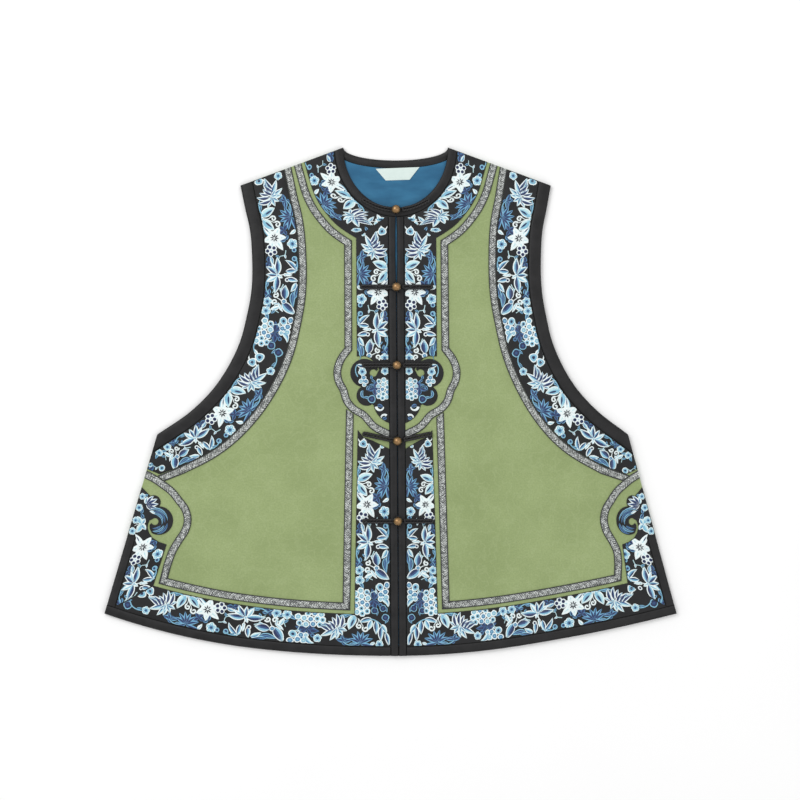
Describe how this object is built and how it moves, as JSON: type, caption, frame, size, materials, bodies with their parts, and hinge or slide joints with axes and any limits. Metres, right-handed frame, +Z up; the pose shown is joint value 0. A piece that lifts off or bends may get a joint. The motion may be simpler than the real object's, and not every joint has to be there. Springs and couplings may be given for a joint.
{
  "type": "embroidered waistcoat laid flat",
  "caption": "Flared sleeveless waistcoat laid flat, with embroidered ribbon borders, brocade braid, corded frog closures and ball buttons.",
  "frame": {"origin": "centre of the bounding box at the surface the waistcoat lies on", "axes": "+Y along the opening to the neck, +X to the wearer's left, +Z up from the surface through the front"},
  "size_m": [0.744, 0.661, 0.0212],
  "materials": {
    "green_silk": "soft tonal silk damask",
    "black_satin": "black satin binding",
    "ribbon_satin": "black satin ribbon with blue and white embroidery",
    "blue_lining": "smooth blue lining",
    "brocade_braid": "silver-grey brocade braid",
    "black_cord": "black satin cord",
    "old_brass": "aged brass",
    "white_label": "bare woven label"
  },
  "bodies": {
    "root": {"back_panel": "green_silk", "back_lining": "blue_lining", "front_panel_R": "green_silk", "front_panel_L": "green_silk", "neck_label": "white_label", "neck_facing_back": "black_satin", "neck_binding_R": "black_satin", "neck_binding_L": "black_satin", "front_edge_binding_R": "black_satin", "front_edge_binding_L": "black_satin", "armhole_binding_R": "black_satin", "armhole_binding_L": "black_satin", "back_armhole_binding_R": "black_satin", "back_armhole_binding_L": "black_satin", "hem_binding_R": "black_satin", "hem_binding_L": "black_satin", "back_hem_binding": "black_satin", "side_binding_R": "black_satin", "side_binding_L": "black_satin", "back_side_binding_R": "black_satin", "back_side_binding_L": "black_satin", "neck_border_R": "ribbon_satin", "neck_border_L": "ribbon_satin", "front_border_upper_R": "ribbon_satin", "front_border_upper_L": "ribbon_satin", "front_border_lower_R": "ribbon_satin", "front_border_lower_L": "ribbon_satin", "hem_border_R": "ribbon_satin", "hem_border_L": "ribbon_satin", "side_border_R": "ribbon_satin", "side_border_L": "ribbon_satin", "armhole_border_R": "ribbon_satin", "armhole_border_L": "ribbon_satin", "armhole_braid_R": "brocade_braid", "armhole_braid_L": "brocade_braid", "front_braid_R": "brocade_braid", "front_braid_L": "brocade_braid", "panel_braid_R": "brocade_braid", "panel_braid_L": "brocade_braid", "frog_1_loop": "black_cord", "frog_1_knot": "black_cord", "frog_2_loop": "black_cord", "frog_2_knot": "black_cord", "frog_3_loop": "black_cord", "frog_3_knot": "black_cord", "frog_4_loop": "black_cord", "frog_4_knot": "black_cord", "frog_5_loop": "black_cord", "frog_5_knot": "black_cord", "button_1": "old_brass", "button_2": "old_brass", "button_3": "old_brass", "button_4": "old_brass", "button_5": "old_brass"}
  },
  "joints": []
}
